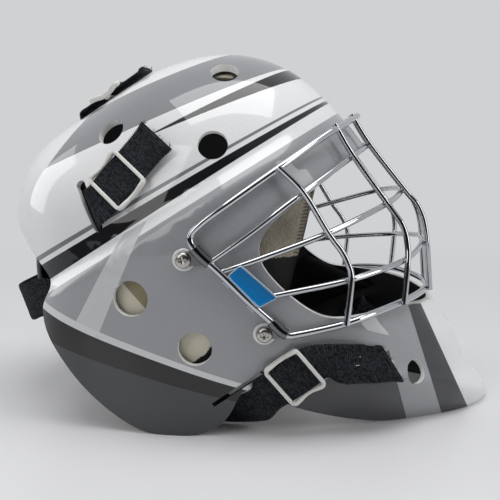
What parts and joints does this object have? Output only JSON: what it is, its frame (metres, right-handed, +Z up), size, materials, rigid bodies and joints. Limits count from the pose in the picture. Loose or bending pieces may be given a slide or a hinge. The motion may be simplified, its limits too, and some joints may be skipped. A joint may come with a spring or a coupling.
{
  "type": "hockey goalie mask",
  "caption": "Goalie mask with a lacquered shell, chrome wire cage, elastic harness with sliders, back plate, pads and chin cup.",
  "frame": {"origin": "centre of the bounding box in plan, at the floor that the shell rests on", "axes": "+X from the back of the head to the chin, +Y to the wearer's left, +Z up with the mask resting on its cheeks and chin"},
  "size_m": [0.3233, 0.2136, 0.228],
  "materials": {
    "shell_lacquer": "clear lacquer over paint",
    "cage_chrome": "bright",
    "clip_steel": "bright",
    "fastener_steel": "bright",
    "washer_plastic": "translucent",
    "plate_blue": "gloss",
    "webbing": "ribbed elastic",
    "slider_plastic": "satin",
    "plate_black": "satin",
    "fleece": "fleece",
    "foam_black": "matt foam"
  },
  "bodies": {
    "shell": {"shell": "shell_lacquer", "cage_rim": "cage_chrome", "cage_cross_bar_top": "cage_chrome", "cage_cross_bar_middle": "cage_chrome", "cage_cross_bar_bottom": "cage_chrome", "cage_post_inner_right": "cage_chrome", "cage_post_inner_left": "cage_chrome", "cage_post_middle_right": "cage_chrome", "cage_post_middle_left": "cage_chrome", "cage_post_outer_right": "cage_chrome", "cage_post_outer_left": "cage_chrome", "cage_plate": "plate_blue", "cage_clips": "clip_steel", "clip_washers": "washer_plastic", "clip_screws": "fastener_steel", "clip_nuts": "fastener_steel", "upper_strap_right": "webbing", "upper_strap_left": "webbing", "jaw_strap_right": "webbing", "jaw_strap_left": "webbing", "top_strap": "webbing", "neck_band": "webbing", "forehead_pad": "fleece", "crown_pad": "fleece", "temple_pad_right": "fleece", "temple_pad_left": "fleece", "jaw_pad_right": "foam_black", "jaw_pad_left": "foam_black", "chin_snaps": "fastener_steel"},
    "top_slider": {"top_slider": "slider_plastic"},
    "upper_slider_right": {"upper_slider_right": "slider_plastic"},
    "upper_slider_left": {"upper_slider_left": "slider_plastic"},
    "jaw_slider_right": {"jaw_slider_right": "slider_plastic"},
    "jaw_slider_left": {"jaw_slider_left": "slider_plastic"},
    "back_plate": {"back_plate": "plate_black", "back_pad": "foam_black"},
    "chin_cup": {"chin_cup": "foam_black", "chin_sling": "webbing"}
  },
  "joints": [
    {"name": "top_slider_slide", "type": "slide", "parent": "shell", "child": "top_slider", "axis": [0.8387, 0, 0.5446], "range_m": [0, 0.01]},
    {"name": "upper_slider_slide_right", "type": "slide", "parent": "shell", "child": "upper_slider_right", "axis": [0.6521, 0.1094, 0.7502], "range_m": [-0.001, 0.014]},
    {"name": "upper_slider_slide_left", "type": "slide", "parent": "shell", "child": "upper_slider_left", "axis": [0.6521, -0.1094, 0.7502], "range_m": [-0.001, 0.014]},
    {"name": "jaw_slider_slide_right", "type": "slide", "parent": "shell", "child": "jaw_slider_right", "axis": [0.7984, -0.0266, 0.6016], "range_m": [-0.005, 0]},
    {"name": "jaw_slider_slide_left", "type": "slide", "parent": "shell", "child": "jaw_slider_left", "axis": [0.7984, 0.0266, 0.6016], "range_m": [-0.005, 0]},
    {"name": "back_plate_swing", "type": "hinge", "parent": "shell", "child": "back_plate", "pos_m": [-0.137, 0, 0.141], "axis": [0, 1, 0], "range_deg": [0, 16], "deforming": ["upper_strap_right", "upper_strap_left", "top_strap", "neck_band"]},
    {"name": "chin_cup_swing", "type": "hinge", "parent": "shell", "child": "chin_cup", "pos_m": [0.074, 0, 0.035], "axis": [0, 1, 0], "range_deg": [-10, 10]}
  ]
}
